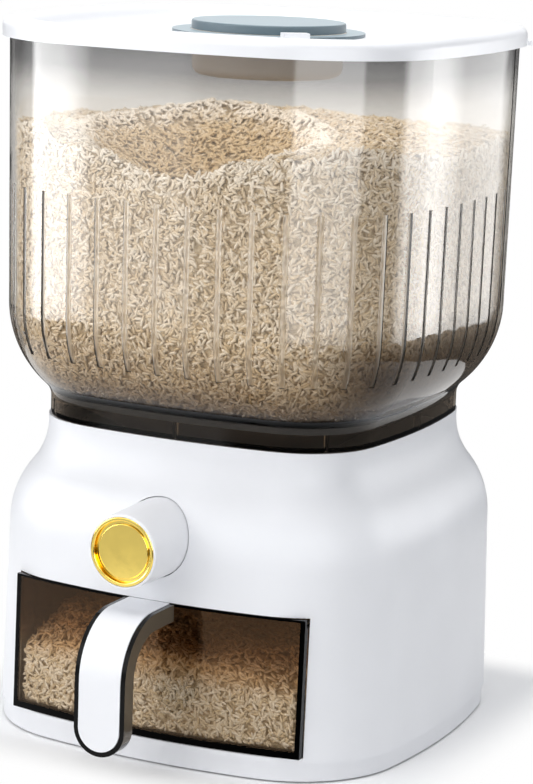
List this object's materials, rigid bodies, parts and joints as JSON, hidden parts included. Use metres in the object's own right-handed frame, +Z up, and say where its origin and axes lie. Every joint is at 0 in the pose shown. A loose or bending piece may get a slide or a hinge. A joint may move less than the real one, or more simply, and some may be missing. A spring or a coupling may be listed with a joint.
{
  "type": "rice dispenser with drawer",
  "caption": "Countertop grain dispenser: clear smoky hopper on a white base, press button that works a metering slide, pull-out clear drawer with strap handle, dished lid with moisture-cup cap.",
  "frame": {"origin": "on the table, below the middle of the base", "axes": "+Z up; -Y towards the front with the button and the drawer; +X to the right seen from the front"},
  "size_m": [0.2586, 0.302, 0.386],
  "materials": {
    "white_abs": "semi-gloss injection-moulded white ABS",
    "smoky_clear": "clear smoke-tinted SAN, polished",
    "dark_abs": "fine matte black ABS",
    "grey_abs": "plain grey ABS inside the base",
    "cap_grey": "satin blue-grey polypropylene",
    "cup_clear": "frosted translucent polypropylene",
    "gold_plate": "gold electroplated ABS",
    "slide_pom": "natural white acetal",
    "seal_rubber": "black thermoplastic rubber",
    "seal_clear": "translucent silicone",
    "foot_rubber": "dark grey rubber",
    "spring_steel": "drawn stainless spring wire"
  },
  "bodies": {
    "base": {"base_plate": "white_abs", "base_shell": "white_abs", "drawer_deck": "grey_abs", "foot_front_left": "foot_rubber", "foot_front_right": "foot_rubber", "foot_rear_left": "foot_rubber", "foot_rear_right": "foot_rubber", "runner_left": "grey_abs", "runner_right": "grey_abs", "funnel": "dark_abs", "funnel_gasket": "seal_rubber", "gate_housing": "grey_abs", "outlet_chute": "grey_abs", "button_guide": "grey_abs", "return_spring": "spring_steel", "hopper_shell": "smoky_clear"},
    "button": {"button_shell": "white_abs", "button_bezel": "gold_plate", "button_face": "gold_plate", "dose_slide": "slide_pom"},
    "drawer": {"drawer_tray": "smoky_clear", "drawer_handle": "smoky_clear", "handle_cover": "white_abs"},
    "lid": {"lid_shell": "white_abs", "lid_seal": "seal_clear", "cup_seat": "cap_grey", "moisture_cup": "cup_clear", "index_tab": "white_abs"},
    "cap": {"cap_disc": "cap_grey", "cap_gasket": "seal_clear"}
  },
  "joints": [
    {"name": "button_press", "type": "slide", "parent": "base", "child": "button", "axis": [0, 1, 0], "range_m": [0, 0.014], "stiffness_N_per_m": 350, "springref_m": -0.008, "deforming": ["return_spring"]},
    {"name": "drawer_slide", "type": "slide", "parent": "base", "child": "drawer", "axis": [0, -1, 0], "range_m": [0, 0.15]},
    {"name": "lid_lift", "type": "slide", "parent": "base", "child": "lid", "axis": [0, 0, 1], "range_m": [0, 0.08]},
    {"name": "cap_lift", "type": "slide", "parent": "lid", "child": "cap", "axis": [0, 0, 1], "range_m": [0, 0.03]}
  ]
}
